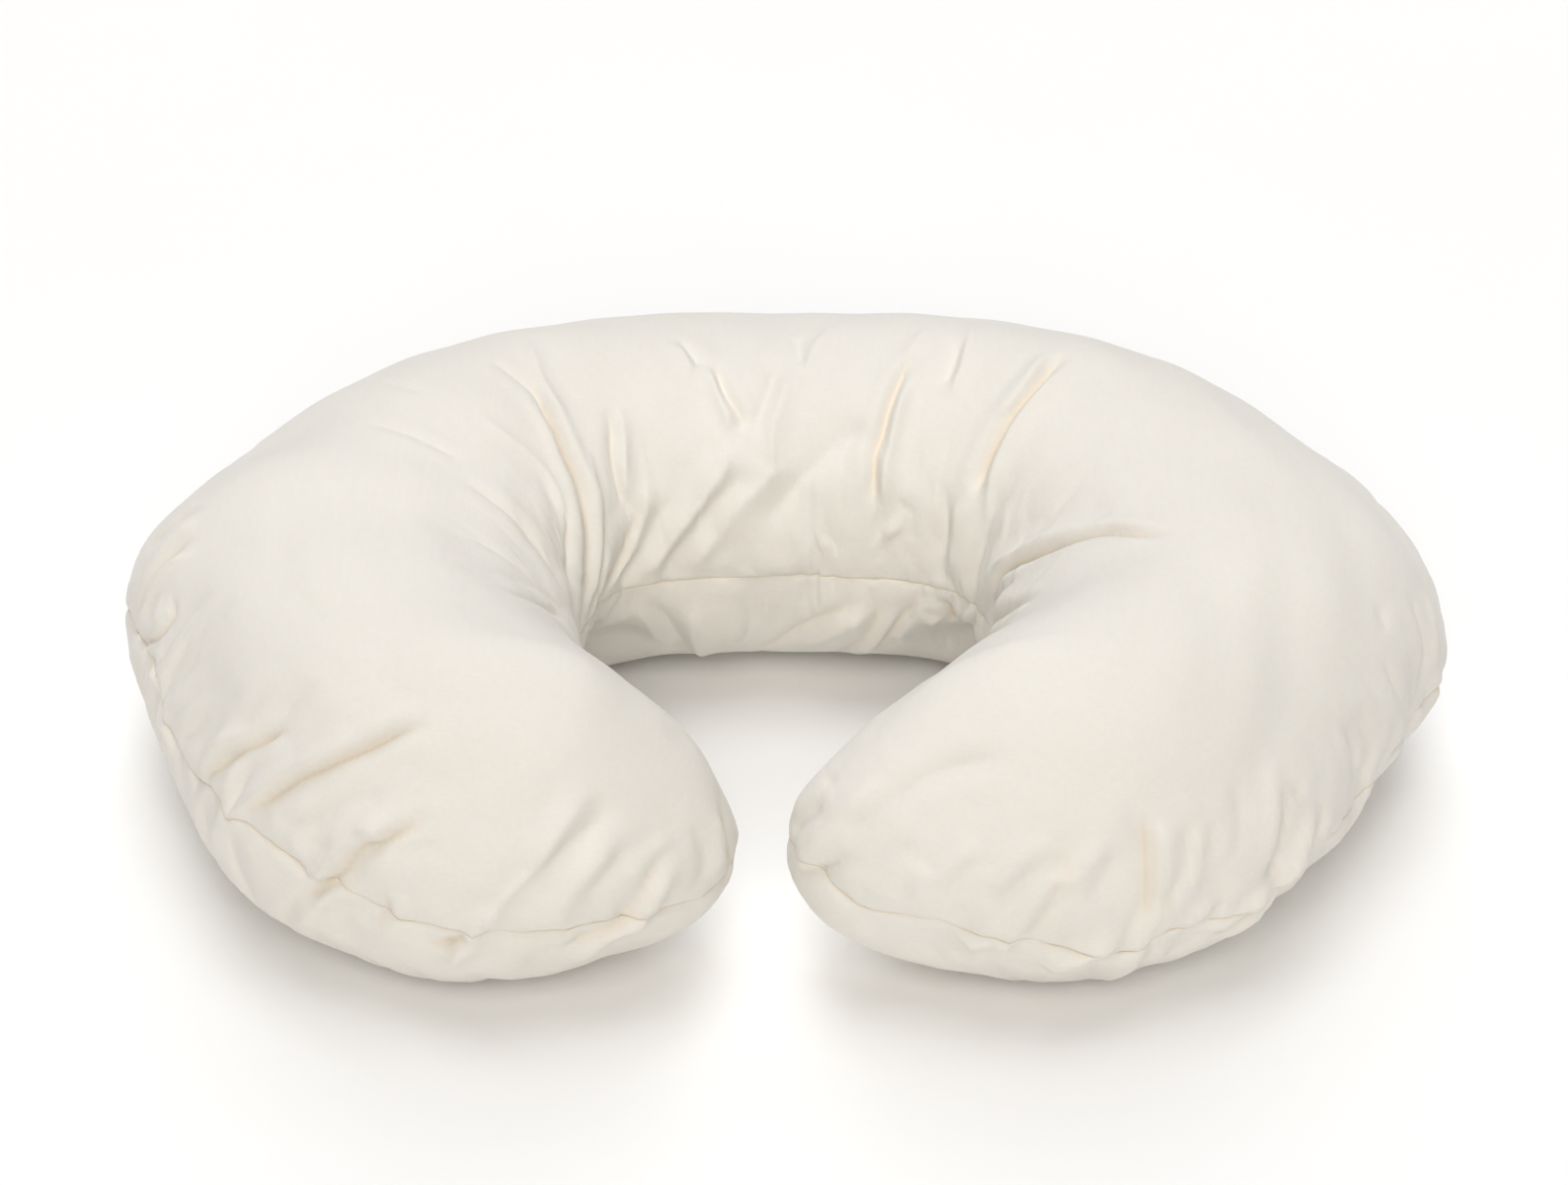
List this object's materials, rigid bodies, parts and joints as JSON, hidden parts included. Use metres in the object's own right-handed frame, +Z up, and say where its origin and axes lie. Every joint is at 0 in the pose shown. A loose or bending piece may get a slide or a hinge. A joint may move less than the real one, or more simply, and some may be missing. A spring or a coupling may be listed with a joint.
{
  "type": "nursing pillow",
  "caption": "C-shaped stuffed cotton cushion with a rounded waist cut-out, thick arms, a perimeter seam, a zipped back edge and an inner filled casing.",
  "frame": {"origin": "middle of the footprint, on the plane that the pillow lies on", "axes": "+X across both arms, +Y from the mouth of the C to its closed back, +Z up"},
  "size_m": [0.6102, 0.4186, 0.168],
  "materials": {
    "cover_cotton": "matte plain-weave undyed cotton",
    "casing_cotton": "matte white cotton casing",
    "fibre_fill": "loose polyester fibre",
    "sewing_thread": "spun thread",
    "zip_tape_cloth": "woven zip tape",
    "zip_coil_nylon": "satin nylon coil",
    "zip_metal": "satin nickel plate",
    "label_cloth": "white satin ribbon, blank"
  },
  "bodies": {
    "pillow": {"cover_top_panel": "cover_cotton", "cover_bottom_panel": "cover_cotton", "cover_seam_thread": "sewing_thread", "liner_top_panel": "casing_cotton", "liner_bottom_panel": "casing_cotton", "liner_seam_thread": "sewing_thread", "fibre_filling": "fibre_fill", "zip_tape_upper": "zip_tape_cloth", "zip_tape_lower": "zip_tape_cloth", "zip_coil_upper": "zip_coil_nylon", "zip_coil_lower": "zip_coil_nylon", "zip_bottom_stop": "zip_metal", "zip_top_stop_upper": "zip_metal", "zip_top_stop_lower": "zip_metal"},
    "slider": {"zip_slider": "zip_metal"},
    "pull": {"zip_pull": "zip_metal"},
    "label": {"care_label": "label_cloth"}
  },
  "joints": [
    {"name": "zip_travel", "type": "hinge", "parent": "pillow", "child": "slider", "pos_m": [0, -0.13069, 0.074], "axis": [0, 0, 1], "range_deg": [0, 53.2]},
    {"name": "pull_swing", "type": "hinge", "parent": "slider", "child": "pull", "pos_m": [0.1534, 0.17565, 0.074], "axis": [0, 0, 1], "range_deg": [-172, 0]},
    {"name": "label_fold", "type": "hinge", "parent": "pillow", "child": "label", "pos_m": [-0.25, 0.11447, 0.07251], "axis": [0.7721, 0.6355, 0], "range_deg": [0, 150]}
  ]
}
